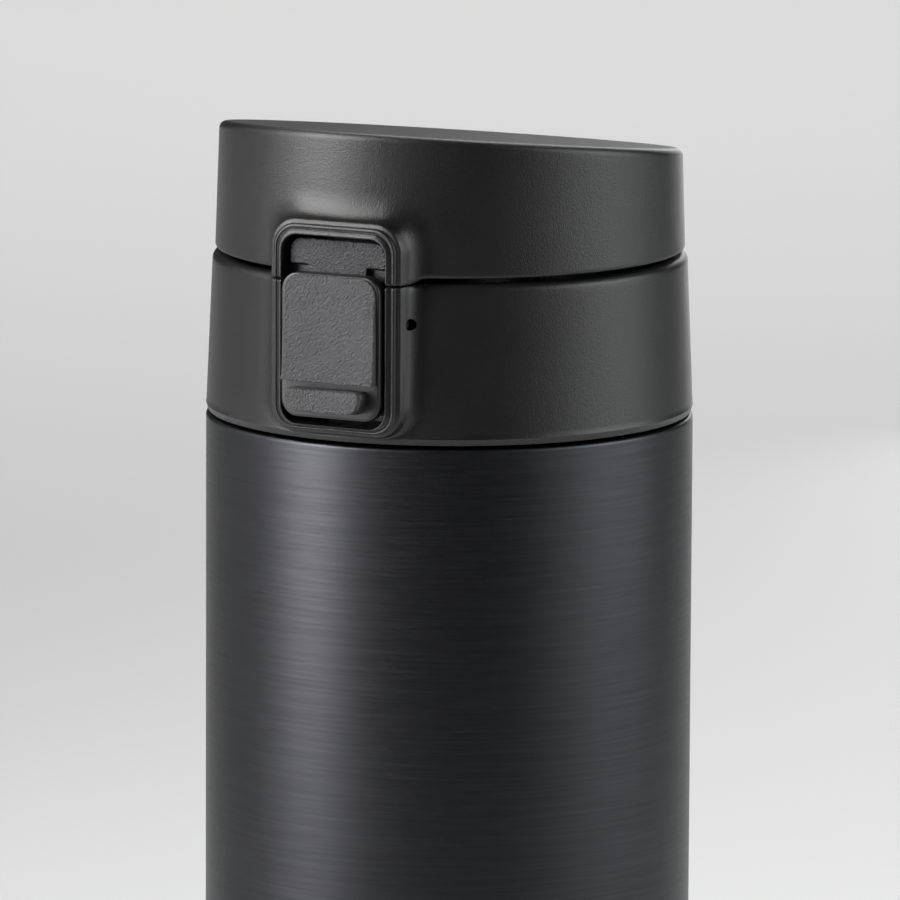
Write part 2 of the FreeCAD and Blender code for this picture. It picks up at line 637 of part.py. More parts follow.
def make_tongue(name, start, end):
    """A ledge in the side of the lid's window that the hook on the latch lever catches."""
    body = new_body(name, "seam_height")
    low = "head_bottom - 1.8"
    high = "head_bottom - 0.3"
    inner = "-liner_radius - 0.5"
    outer = "-hook_back - 0.9"
    side_pad(body, "Ledge", [(outer, low), (inner, low), (inner, high), (outer, high)], start, end)
    return body


def make_knuckle(name, start, end):
    """One hinge knuckle of the lid, which turns on the hinge pin."""
    body = new_body(name, "seam_height")
    root = "lid_bottom_radius - 1.5"
    high = "hinge_height + 7.8"
    side_pad(body, "Web", [
        (root, "hinge_height + 0.7"), ("hinge_distance", "hinge_height + 0.2"),
        ("hinge_distance + 1.65", "hinge_height + 1.75"), ("hinge_distance - 1.9", high), (root, high)],
        start, end)
    cross_rod(body, "Knuckle", ("hinge_distance", "hinge_height"), "knuckle_radius", start, end)
    cross_rod(body, "PinHole", ("hinge_distance", "hinge_height"), "hinge_pin_radius + 0.07", start, end,
              "PartDesign::Pocket")
    return body


def make_lid_liner():
    """Inner cover of the lid: flat plate with a rim, and a ring that holds the lid gasket."""
    body = new_body("lid_liner", "seam_height")
    revolve(body, "Dish", [
        ("0", "liner_plate"), ("liner_radius - 1.4", "liner_plate"), ("liner_radius - 1.4", "liner_bottom"),
        ("liner_radius", "liner_bottom"), ("liner_radius", "liner_plate - 0.1"),
        ("liner_edge", "liner_plate + 0.1"), ("liner_edge", "liner_plate + 1.2"), ("0", "liner_plate + 1.2")])
    return body


def make_lid_gasket():
    """Silicone disc under the liner with a raised ring that closes the mouthpiece."""
    body = new_body("lid_gasket", "seam_height", "spout_offset")
    face = "liner_plate - 1.1"
    ridge = "liner_plate - 1.9"
    edge = "spout_bore + 3.4"
    revolve(body, "Disc", [
        ("0", face), ("spout_bore - 0.6", face), ("spout_bore - 0.2", ridge), ("spout_bore + 2.2", ridge),
        ("spout_bore + 2.6", face), (edge, face), (edge, "liner_plate"), ("0", "liner_plate")])
    return body


# ---------------------------------------------------------------- latch and lock

def make_latch_lever():
    """Rocking lever: T head with the hook, narrow neck, pivot barrel, and a foot slotted for the slider."""
    body = new_body("LeverBlank", "seam_height")
    pivot = ("-latch_pivot", "latch_pivot_height")
    head = front_pad(body, "Head", box_outline("head_half", "head_bottom", "lever_top"),
                     "hook_back", "lever_front")
    round_edges(body, "HeadCorners", head, "2.7",
                lambda edge, middle: is_line_along(edge, Vector(0, 1, 0))
                and middle.z > size("lever_top - 1"))
    front_pad(body, "Neck", box_outline("neck_half", "latch_pivot_height - 2", "head_bottom + 1"),
              "lever_back", "lever_front")
    front_pad(body, "Foot", box_outline("head_half", "lever_bottom", "latch_pivot_height - 1"),
              "lever_back", "lever_front")
    cross_rod(body, "Barrel", pivot, "latch_pin_radius + 0.45", "-head_half", "head_half")

    bore = new_body("LeverBore", "seam_height")
    cross_rod(bore, "Bore", pivot, "latch_pin_radius + 0.08", "-head_half - 1", "head_half + 1")
    slot = new_body("LeverSlot", "seam_height")
    front_pad(slot, "Slot",
              box_outline("rib_half + 0.35", "rib_bottom - 0.35", "rib_top + lock_travel + 0.35"),
              "lever_back - 2", "lever_front + 2")
    return cut("latch_lever", body, join("LeverTools", [bore, slot]))


def make_lock_slider():
    """Push plate with a thumb ledge; its rib passes through the lever and holds the clip."""
    body = new_body("lock_slider", "seam_height")
    low_face = "(slider_low_face - 0.7)"
    plate = side_pad(body, "Plate", [
        ("-slider_back", "slider_bottom"), (f"-{low_face}", "slider_bottom"),
        (f"-{low_face}", "ledge_top + 0.3"), ("-slider_low_face", "ledge_top + 0.8"),
        ("-slider_top_face", "slider_top"), ("-slider_back", "slider_top")],
        "-slider_half", "slider_half")
    round_edges(body, "Corners", plate, "2.4",
                lambda edge, middle: is_line_along(edge, Vector(0, 1, 0))
                and abs(middle.x) > size("slider_half - 0.1")
                and (middle.z > size("slider_top - 1") or middle.z < size("slider_bottom + 1")))
    root = f"-{low_face} + 0.5"
    side_pad(body, "Ledge", [
        (root, "ledge_top"), ("-ledge_reach", "ledge_top"), ("-ledge_reach + 0.55", "ledge_top - 1.4"),
        ("-ledge_reach + 1.9", "ledge_bottom + 0.2"), (root, "ledge_bottom")], "-ledge_half", "ledge_half")
    front_pad(body, "Rib", box_outline("rib_half", "rib_bottom", "rib_top"), "clip_back - 0.1",
              "slider_back + 0.5")
    return body


def make_slider_clip():
    """Spring clip pressed on the end of the slider's rib, behind the lever."""
    body = new_body("ClipBlank", "seam_height")
    front_pad(body, "Plate", box_outline("rib_half + 1.6", "rib_bottom - 0.4", "rib_top + 0.4"),
              "clip_back", "clip_front")
    hole = new_body("ClipHole", "seam_height")
    front_pad(hole, "Hole", box_outline("rib_half", "rib_bottom", "rib_top"),
              "clip_back - 1", "clip_front + 1")
    return cut("slider_clip", body, hole)


# ---------------------------------------------------------------- all pieces

PIECES = [
    make_outer_shell(), make_inner_vessel(), make_base_plate(), make_vacuum_seal(), make_radiation_foil(),
    make_getter(), make_foot_pad(), make_collar(), make_cap_core(), make_spout(), make_spout_gasket(),
    make_neck_gasket(), make_hinge_pin(), make_lid_spring(), make_latch_pin(), make_latch_spring(),
    make_lid_shell(), make_lid_liner(), make_lid_gasket(), make_latch_lever(), make_slider_clip(),
    make_lock_slider(),
]

doc.recompute()
for item in doc.Objects:
    if "Invalid" in item.State or "Error" in item.State:
        raise RuntimeError(f"{item.Label} failed: {item.State}")
for piece in PIECES:
    if piece.Shape.isNull() or not piece.Shape.isValid():
        raise RuntimeError(f"{piece.Label} has no valid shape")

os.makedirs("parts", exist_ok=True)
for piece in PIECES:
    piece.Shape.exportStep(f"parts/{piece.Label}.step")
    print(f"{piece.Label}: {len(piece.Shape.Solids)} solid, {piece.Shape.Volume / 1000:.3f} cm3")
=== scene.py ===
import math

import bmesh
import bpy
import numpy as np
from mathutils import Matrix, Vector


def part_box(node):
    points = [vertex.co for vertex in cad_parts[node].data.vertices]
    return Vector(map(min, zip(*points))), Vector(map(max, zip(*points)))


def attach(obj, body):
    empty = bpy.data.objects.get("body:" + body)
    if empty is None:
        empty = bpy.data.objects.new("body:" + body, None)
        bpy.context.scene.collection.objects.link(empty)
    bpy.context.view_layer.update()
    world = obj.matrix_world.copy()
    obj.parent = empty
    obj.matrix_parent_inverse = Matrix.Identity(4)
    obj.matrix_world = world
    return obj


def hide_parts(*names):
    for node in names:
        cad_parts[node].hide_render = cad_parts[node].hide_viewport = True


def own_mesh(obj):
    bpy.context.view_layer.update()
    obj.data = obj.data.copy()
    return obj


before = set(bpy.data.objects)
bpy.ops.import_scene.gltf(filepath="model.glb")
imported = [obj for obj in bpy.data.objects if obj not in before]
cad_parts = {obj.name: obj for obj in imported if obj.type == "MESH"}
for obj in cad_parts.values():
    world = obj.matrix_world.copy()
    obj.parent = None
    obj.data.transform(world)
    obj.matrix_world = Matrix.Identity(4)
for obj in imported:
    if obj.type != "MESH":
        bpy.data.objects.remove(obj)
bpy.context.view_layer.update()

MM = 0.001

# ------------------------------------------------------------------ sizes in mm

def low(node):
    return np.array(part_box(node)[0]) / MM


def high(node):
    return np.array(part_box(node)[1]) / MM


def pin_centre(node):
    """The (y, z) of a pin that lies along X, found from its box in the frame."""
    return (low(node)[1] + high(node)[1]) / 2, (low(node)[2] + high(node)[2]) / 2


BODY_R = 33.1
SEAM = 178.0
SHOULDER_Z = SEAM - 0.1
LIP = 34.3           # crest of the bead along the latch window
FACE = 33.55         # front of the latch frame at its outer edge, before it rolls back to the wall
COLLAR_LOW, COLLAR_HIGH = SEAM + 0.27, SEAM + 21.85
COLLAR_LOW_R, COLLAR_HIGH_R, COLLAR_BORE = 33.1, 32.2, 30.6
LID_LOW = SEAM + 22.55
LID_LOW_R, LID_TAPER = 31.87, 0.0323
LID_WALL = 1.9
LID_MID, LID_SLOPE = SEAM + 37.74, 0.125
HINGE_Y, HINGE_Z = pin_centre("hinge_pin")
PIVOT_Y, PIVOT_Z = pin_centre("latch_pin")


# ------------------------------------------------------------------ node materials

def material(name, color, metallic=0.0, roughness=0.5, anisotropic=0.0, specular=0.5):
    mat = bpy.data.materials.new(name)
    mat.use_nodes = True
    shader = mat.node_tree.nodes["Principled BSDF"]
    shader.inputs["Base Color"].default_value = (*color, 1.0)
    shader.inputs["Metallic"].default_value = metallic
    shader.inputs["Roughness"].default_value = roughness
    shader.inputs["Anisotropic"].default_value = anisotropic
    shader.inputs["Specular IOR Level"].default_value = specular
    return mat


def node(mat, kind, **values):
    """A shader node; keys are socket names with _ for spaces, or the node's own properties."""
    made = mat.node_tree.nodes.new(kind)
    for key, value in values.items():
        socket = key.replace("_", " ")
        if socket in made.inputs:
            made.inputs[socket].default_value = value
        else:
            setattr(made, key, value)
    return made


def link(mat, source, target):
    mat.node_tree.links.new(source, target)


def object_coordinates(mat, scale=(1, 1, 1)):
    place = node(mat, "ShaderNodeTexCoord")
    mapping = node(mat, "ShaderNodeMapping")
    mapping.inputs["Scale"].default_value = scale
    link(mat, place.outputs["Object"], mapping.inputs["Vector"])
    return mapping.outputs["Vector"]


def noise(mat, vector, scale, detail=2.0, roughness=0.5):
    made = node(mat, "ShaderNodeTexNoise", Scale=scale, Detail=detail, Roughness=roughness)
    link(mat, vector, made.inputs["Vector"])
    return made.outputs["Fac"]


def remap(mat, value, low_in, high_in, low_out, high_out):
    made = node(mat, "ShaderNodeMapRange", From_Min=low_in, From_Max=high_in,
                To_Min=low_out, To_Max=high_out)
    link(mat, value, made.inputs["Value"])
    return made.outputs["Result"]


def add(mat, first, second, share=1.0):
    made = node(mat, "ShaderNodeMath", operation="MULTIPLY_ADD")
    link(mat, second, made.inputs[0])
    made.inputs[1].default_value = share
    link(mat, first, made.inputs[2])
    return made.outputs[0]


def bump(mat, height, depth_mm):
    shader = mat.node_tree.nodes["Principled BSDF"]
    made = node(mat, "ShaderNodeBump", Strength=1.0, Distance=depth_mm * MM)
    link(mat, height, made.inputs["Height"])
    link(mat, made.outputs["Normal"], shader.inputs["Normal"])


def vary_color(mat, value, dark, light):
    shader = mat.node_tree.nodes["Principled BSDF"]
    ramp = node(mat, "ShaderNodeValToRGB")
    ramp.color_ramp.elements[0].color = (*dark, 1)
    ramp.color_ramp.elements[1].color = (*light, 1)
    ramp.color_ramp.elements[0].position = 0.3
    ramp.color_ramp.elements[1].position = 0.7
    link(mat, value, ramp.inputs["Fac"])
    link(mat, ramp.outputs["Color"], shader.inputs["Base Color"])


def vary_roughness(mat, value, low_out, high_out):
    shader = mat.node_tree.nodes["Principled BSDF"]
    link(mat, remap(mat, value, 0.3, 0.7, low_out, high_out), shader.inputs["Roughness"])


def leaning(mat, degrees, stretch):
    """Coordinates drawn out along a line that leans to the right of upright, seen from the front."""
    place = node(mat, "ShaderNodeTexCoord")
    mapping = node(mat, "ShaderNodeMapping", vector_type="TEXTURE")
    mapping.inputs["Rotation"].default_value = (0, math.radians(degrees), 0)
    mapping.inputs["Scale"].default_value = (1, 1, stretch)
    link(mat, place.outputs["Object"], mapping.inputs["Vector"])
    return mapping.outputs["Vector"]


def grained_plastic(name, dark, light, grain_mm, depth_mm, rough, lean=0.0, stretch=1.0):
    """Moulded plastic with a spark-eroded grain of about grain_mm."""
    mat = material(name, light, roughness=rough[0])
    vector = leaning(mat, lean, stretch)
    grain = noise(mat, vector, 1 / (grain_mm * MM), 3.0, 0.55)
    broad = noise(mat, vector, 1 / (9 * grain_mm * MM), 2.0, 0.5)
    bump(mat, add(mat, grain, broad, 0.25), depth_mm)
    cloud = noise(mat, object_coordinates(mat), 90.0, 3.0, 0.6)
    vary_color(mat, add(mat, cloud, grain, 0.2), dark, light)
    vary_roughness(mat, add(mat, grain, cloud, 0.4), rough[0], rough[1])
    return mat


def brushed_steel(name, dark, light, rough, depth_mm, anisotropic):
    """Steel with fine hairlines running round the Z axis."""
    mat = material(name, light, metallic=1.0, roughness=rough[0], anisotropic=anisotropic)
    shader = mat.node_tree.nodes["Principled BSDF"]
    hair = noise(mat, object_coordinates(mat, (260, 260, 5000)), 1.0, 3.0, 0.6)
    streak = noise(mat, object_coordinates(mat, (70, 70, 2600)), 1.0, 2.0, 0.5)
    both = add(mat, hair, streak, 0.3)
    bump(mat, both, depth_mm)
    vary_color(mat, streak, dark, light)
    vary_roughness(mat, hair, rough[0], rough[1])
    tangent = node(mat, "ShaderNodeTangent", direction_type="RADIAL", axis="Z")
    link(mat, tangent.outputs["Tangent"], shader.inputs["Tangent"])
    return mat


def plain_metal(name, dark, light, rough, scale=400.0):
    mat = material(name, light, metallic=1.0, roughness=rough[0])
    cloud = noise(mat, object_coordinates(mat), scale, 3.0, 0.6)
    vary_color(mat, cloud, dark, light)
    vary_roughness(mat, cloud, rough[0], rough[1])
    bump(mat, noise(mat, object_coordinates(mat), 6 * scale, 2.0), 0.01)
    return mat


def rubber(name, dark, light, rough):
    mat = material(name, light, roughness=rough[0])
    cloud = noise(mat, object_coordinates(mat), 700.0, 4.0, 0.6)
    vary_color(mat, cloud, dark, light)
    vary_roughness(mat, cloud, rough[0], rough[1])
    bump(mat, cloud, 0.02)
    return mat


LID_PLASTIC = grained_plastic("lid_plastic", (0.005, 0.005, 0.0052), (0.008, 0.008, 0.0082), 0.2, 0.055,
                              (0.3, 0.37))
CAP_PLASTIC = grained_plastic("cap_plastic", (0.0035, 0.0035, 0.0039), (0.006, 0.006, 0.0066), 0.22, 0.035,
                              (0.32, 0.39))
PUSH_PLASTIC = grained_plastic("push_plastic", (0.034, 0.034, 0.035), (0.058, 0.058, 0.061), 0.27, 0.5,
                               (0.29, 0.36), 40, 1.6)
# A copy of the push plastic with less grain for the smooth base plate; its darker colour is painted shade
PUSH_PLASTIC_PAINTED_SHADE = grained_plastic("push_plastic_painted_shade", (0.008, 0.008, 0.008), (0.012, 0.012, 0.012),
                                 0.25, 0.01, (0.34, 0.4))
INNER_PLASTIC = grained_plastic("inner_plastic", (0.012, 0.012, 0.012), (0.018, 0.018, 0.018), 0.2, 0.012,
                                (0.34, 0.42))
BLACK_STEEL = brushed_steel("black_brushed_steel", (0.04, 0.041, 0.044), (0.05, 0.051, 0.055),
                            (0.335, 0.395), 0.004, 0.4)
BARE_STEEL = brushed_steel("bare_brushed_steel", (0.5, 0.5, 0.5), (0.62, 0.62, 0.61),
                           (0.24, 0.34), 0.006, 0.4)
FOIL = plain_metal("foil", (0.62, 0.62, 0.61), (0.8, 0.8, 0.79), (0.16, 0.3))
PIN_STEEL = plain_metal("pin_steel", (0.5, 0.5, 0.5), (0.66, 0.66, 0.66), (0.18, 0.28))
SEAL_METAL = plain_metal("seal_metal", (0.34, 0.34, 0.33), (0.45, 0.45, 0.44), (0.35, 0.5))
GETTER_METAL = plain_metal("getter_metal", (0.12, 0.12, 0.12), (0.2, 0.19, 0.18), (0.6, 0.8), 2500.0)
SILICONE = rubber("silicone", (0.32, 0.32, 0.31), (0.4, 0.4, 0.39), (0.38, 0.5))
FOOT_RUBBER = rubber("foot_rubber", (0.02, 0.02, 0.02), (0.028, 0.028, 0.028), (0.6, 0.75))


# ------------------------------------------------------------------ mesh helpers

def new_piece(name, vertices, faces, mat, body, stands_for=(), slot=None, sharp=38):
    """A smooth-shaded mesh from points in mm; edges sharper than the given angle stay crisp."""
    mesh = bpy.data.meshes.new(name)
    mesh.from_pydata([tuple(float(c) * MM for c in v) for v in vertices], [], [tuple(f) for f in faces])
    mesh.validate()
    mesh.polygons.foreach_set("use_smooth", [True] * len(mesh.polygons))
    mesh.set_sharp_from_angle(angle=math.radians(sharp))
    mesh.materials.append(mat)
    obj = bpy.data.objects.new(name, mesh)
    bpy.context.scene.collection.objects.link(obj)
    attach(obj, body)
    if stands_for:
        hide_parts(*stands_for)
    return obj


def rounded_path(points, radii, steps=6):
    """A closed 2-D polygon with each corner rounded by its own radius."""
    out = []
    count = len(points)
    for index in range(count):
        before, corner, after = (np.array(points[(index + k) % count], float) for k in (-1, 0, 1))
        radius = radii[index] if isinstance(radii, (list, tuple)) else radii
        to_before, to_after = before - corner, after - corner
        length_a, length_b = np.linalg.norm(to_before), np.linalg.norm(to_after)
        a, b = to_before / length_a, to_after / length_b
        half = math.acos(max(-1.0, min(1.0, float(a @ b)))) / 2
        if radius <= 0 or half > math.radians(88):
            out.append(tuple(corner))
            continue
        reach = min(radius / math.tan(half), 0.48 * length_a, 0.48 * length_b)
        radius = reach * math.tan(half)
        centre = corner + (a + b) / np.linalg.norm(a + b) * radius / math.sin(half)
        start, end = corner + a * reach - centre, corner + b * reach - centre
        sweep = math.atan2(start[0] * end[1] - start[1] * end[0], float(start @ end))
        for step in range(steps + 1):
            t = sweep * step / steps
            turned = (start[0] * math.cos(t) - start[1] * math.sin(t),
                      start[0] * math.sin(t) + start[1] * math.cos(t))
            out.append((centre[0] + turned[0], centre[1] + turned[1]))
    return out


def lathe(section, centre_y=0.0, steps=160):
    """Vertices and faces of a closed (radius, height) section turned about a vertical axis."""
    vertices, faces, count = [], [], len(section)
    for step in range(steps):
        angle = 2 * math.pi * step / steps
        for radius, height in section:
            r = max(radius, 0.0)
            vertices.append((r * math.sin(angle), centre_y - r * math.cos(angle), height))
    for step in range(steps):
        after = (step + 1) % steps
        for index in range(count):
            following = (index + 1) % count
            if section[index][0] <= 1e-6 and section[following][0] <= 1e-6:
                continue
            faces.append((step * count + index, after * count + index, after * count + following,
                          step * count + following))
    return vertices, faces


WELD = 0.002         # points nearer than this are one point


def merged(parts):
    """Several (vertices, faces) lists as one."""
    vertices, faces = [], []
    for part_vertices, part_faces in parts:
        base = len(vertices)
        vertices += list(part_vertices)
        faces += [tuple(index + base for index in face) for face in part_faces]
    return vertices, faces


def weld(obj):
    """Merges points that lie on each other, such as those on a lathe's axis."""
    bm = bmesh.new()
    bm.from_mesh(obj.data)
    bmesh.ops.remove_doubles(bm, verts=bm.verts, dist=WELD * MM)
    bmesh.ops.recalc_face_normals(bm, faces=bm.faces)
    bm.to_mesh(obj.data)
    bm.free()
    return obj


def prism(outline, lower, upper, place):
    """A flat outline extruded from lower to upper; place turns (a, b, height) into (x, y, z)."""
    count = len(outline)
    vertices = [place(a, b, lower) for a, b in outline] + [place(a, b, upper) for a, b in outline]
    faces = [tuple(range(count))[::-1], tuple(range(count, 2 * count))]
    faces += [(i, (i + 1) % count, count + (i + 1) % count, count + i) for i in range(count)]
    return vertices, faces


def front_view(across, height, forward):
    """(across, height) seen from the front, at a distance forward of the axis."""
    return across, -forward, height


def side_view(y, height, across):
    return across, y, height


def bevelled(obj, width_mm, segments=3, angle=35):
    """Rounds the edges of a mesh that are sharper than angle."""
    modifier = obj.modifiers.new("Bevel", "BEVEL")
    modifier.width = width_mm * MM
    modifier.segments = segments
    modifier.limit_method = "ANGLE"
    modifier.angle_limit = math.radians(angle)
    modifier.harden_normals = False
    bpy.context.view_layer.update()
    evaluated = obj.evaluated_get(bpy.context.evaluated_depsgraph_get())
    mesh = bpy.data.meshes.new_from_object(evaluated)
    obj.modifiers.clear()
    obj.data = mesh
    mesh.polygons.foreach_set("use_smooth", [True] * len(mesh.polygons))
    mesh.set_sharp_from_angle(angle=math.radians(32))
    return obj


def lathe_piece(name, section, radii, mat, body, slot, centre_y=0.0):
    """A turned piece that replaces the node it is named after."""
    turned = lathe(rounded_path(section, radii), centre_y)
    return weld(new_piece(name, *turned, mat, body, (name.replace("_look", ""),), slot))


def coil(radius, wire, length, turns, place, around=12, per_turn=28):
    """A closed round-wire coil along its own axis; place turns (a, b, along) into (x, y, z)."""
    vertices, faces = [], []
    total = int(turns * per_turn)
    for step in range(total + 1):
        t = step / total
        angle = 2 * math.pi * turns * t
        along = wire + t * (length - 2 * wire)
        for k in range(around):
            phi = 2 * math.pi * k / around
            r = radius + wire * math.cos(phi)
            vertices.append(place(r * math.cos(angle), r * math.sin(angle), along + wire * math.sin(phi)))
    for step in range(total):
        for k in range(around):
            a, b = step * around + k, step * around + (k + 1) % around
            faces.append((a, b, b + around, a + around))
    faces.append(tuple(range(around))[::-1])
    faces.append(tuple(range(total * around, (total + 1) * around)))
    return vertices, faces


def thread_ridge(root, crest, base, top, start, lead, turns, fade=0.12, steps=150):
    """A right-hand screw ridge that starts over +X and fades in and out at its ends."""
    vertices, faces = [], []
    for step in range(steps + 1):
        t = step / steps
        angle = 2 * math.pi * turns * t
        grow = min(1.0, t * turns / fade, (1 - t) * turns / fade)
        grow = max(grow, 0.02)
        middle = start + lead * turns * t
        reach = root + (crest - root) * grow
        for r, dz in ((root, -base), (reach, -top), (reach, top), (root, base)):
            vertices.append((r * math.cos(angle), r * math.sin(angle), middle + dz * (0.4 + 0.6 * grow)))
    for step in range(steps):
        a = 4 * step
        for k in range(3):
            faces.append((a + k, a + k + 4, a + k + 5, a + k + 1))
        faces.append((a + 3, a + 7, a + 4, a))
    faces.append((0, 1, 2, 3))
    faces.append((4 * steps + 3, 4 * steps + 2, 4 * steps + 1, 4 * steps))
    return vertices, faces


def circle(centre, radius, count=48):
    return [(centre[0] + radius * math.cos(2 * math.pi * k / count),
             centre[1] + radius * math.sin(2 * math.pi * k / count))
            for k in range(count)]


def rod(centre, radius, start, end, count=32):
    """A round bar along X; centre is (y, z)."""
    return prism(circle(centre, radius, count), start, end, side_view)


def combine(obj, vertices, faces, operation="DIFFERENCE"):
    """Cuts the given solid from a mesh, or joins it to the mesh."""
    mesh = bpy.data.meshes.new("tool")
    mesh.from_pydata([tuple(float(c) * MM for c in v) for v in vertices], [], [tuple(f) for f in faces])
    tool = bpy.data.objects.new("tool", mesh)
    bpy.context.scene.collection.objects.link(tool)
    modifier = obj.modifiers.new("Combine", "BOOLEAN")
    modifier.object = tool
    modifier.operation = operation
    modifier.solver = "EXACT"
    bpy.context.view_layer.update()
    result = bpy.data.meshes.new_from_object(obj.evaluated_get(bpy.context.evaluated_depsgraph_get()))
    obj.modifiers.clear()
    obj.data = result
    bpy.data.objects.remove(tool)
    return obj


def shape(vertices, faces):
    """A mesh object that only lends its shape to others."""
    mesh = bpy.data.meshes.new("shape")
    mesh.from_pydata([tuple(float(c) * MM for c in v) for v in vertices], [], [tuple(f) for f in faces])
    obj = bpy.data.objects.new("shape", mesh)
    bpy.context.scene.collection.objects.link(obj)
    return obj


def taken(obj):
    """The points, in mm, and faces of a shape, whose object is then removed."""
    vertices = [tuple(v.co / MM) for v in obj.data.vertices]
    faces = [tuple(polygon.vertices) for polygon in obj.data.polygons]
    bpy.data.objects.remove(obj)
    return vertices, faces


def with_cuts(part, tools):
    """A closed solid less each of the tools."""
    obj = shape(*part)
    for tool in tools:
        combine(obj, *tool)
    return taken(obj)


def hinge_leaf(outline, start, end, bore):
    """One lug or knuckle of the hinge: its web with rounded edges, the barrel, and the hole for the pin."""
    web = bevelled(shape(*prism(rounded_path(outline, 0.5, 4), start, end, side_view)), 0.2, 2)
    barrel = bevelled(shape(*rod((HINGE_Y, HINGE_Z), 2.4, start, end, 56)), 0.25, 3, 60)
    combine(web, *taken(barrel), "UNION")
    combine(web, *rod((HINGE_Y, HINGE_Z), bore, start - 1, end + 1, 40))
    return taken(web)


# ------------------------------------------------------------------ the moulded shells with the latch frame

def smooth_step(t):
    t = np.clip(t, 0.0, 1.0)
    return t * t * (3 - 2 * t)


def rounding(edge, from_end):
    """How far an edge rounding of the given radius has dropped at a distance from the end."""
    left = max(edge - from_end, 0.0)
    return edge - math.sqrt(max(edge ** 2 - left ** 2, 0.0))


def leg_and_top(half, top, corner, start, leg_shares, top_shares):
    """Points and outward directions along a round-cornered arch from its left foot over to its right foot.

    half is the arch's half width, top its height, start the height of its feet; the shares say how far
    along each leg, and along the top, the points lie. A leg ends half way round its corner."""
    def leg_point(share):
        straight = top - corner - start
        arc = corner * math.pi / 4
        run = share * (straight + arc)
        if run <= straight:
            return (-half, start + run), (-1.0, 0.0)
        angle = (run - straight) / corner if corner > 0 else 0.0
        direction = (-math.cos(angle), math.sin(angle))
        return (-(half - corner) + corner * direction[0], top - corner + corner * direction[1]), direction

    def top_point(share):
        straight = 2 * (half - corner)
        arc = corner * math.pi / 4
        run = share * (straight + 2 * arc)
        if run < arc:
            angle = math.pi / 4 + run / corner
            direction = (-math.cos(angle), math.sin(angle))
            place = (-(half - corner) + corner * direction[0], top - corner + corner * direction[1])
            return place, direction
        if run <= arc + straight:
            return (-(half - corner) + run - arc, top), (0.0, 1.0)
        angle = math.pi / 2 - (run - arc - straight) / corner
        direction = (math.cos(angle), math.sin(angle))
        return ((half - corner) + corner * direction[0], top - corner + corner * direction[1]), direction

    left = [leg_point(share) for share in leg_shares]
    over = [top_point(share) for share in top_shares[1:-1]]
    right = [((-p[0], p[1]), (-d[0], d[1])) for p, d in reversed(left)]
    points = [p for p, d in left + over + right]
    directions = [d for p, d in left + over + right]
    return np.array(points), np.array(directions)


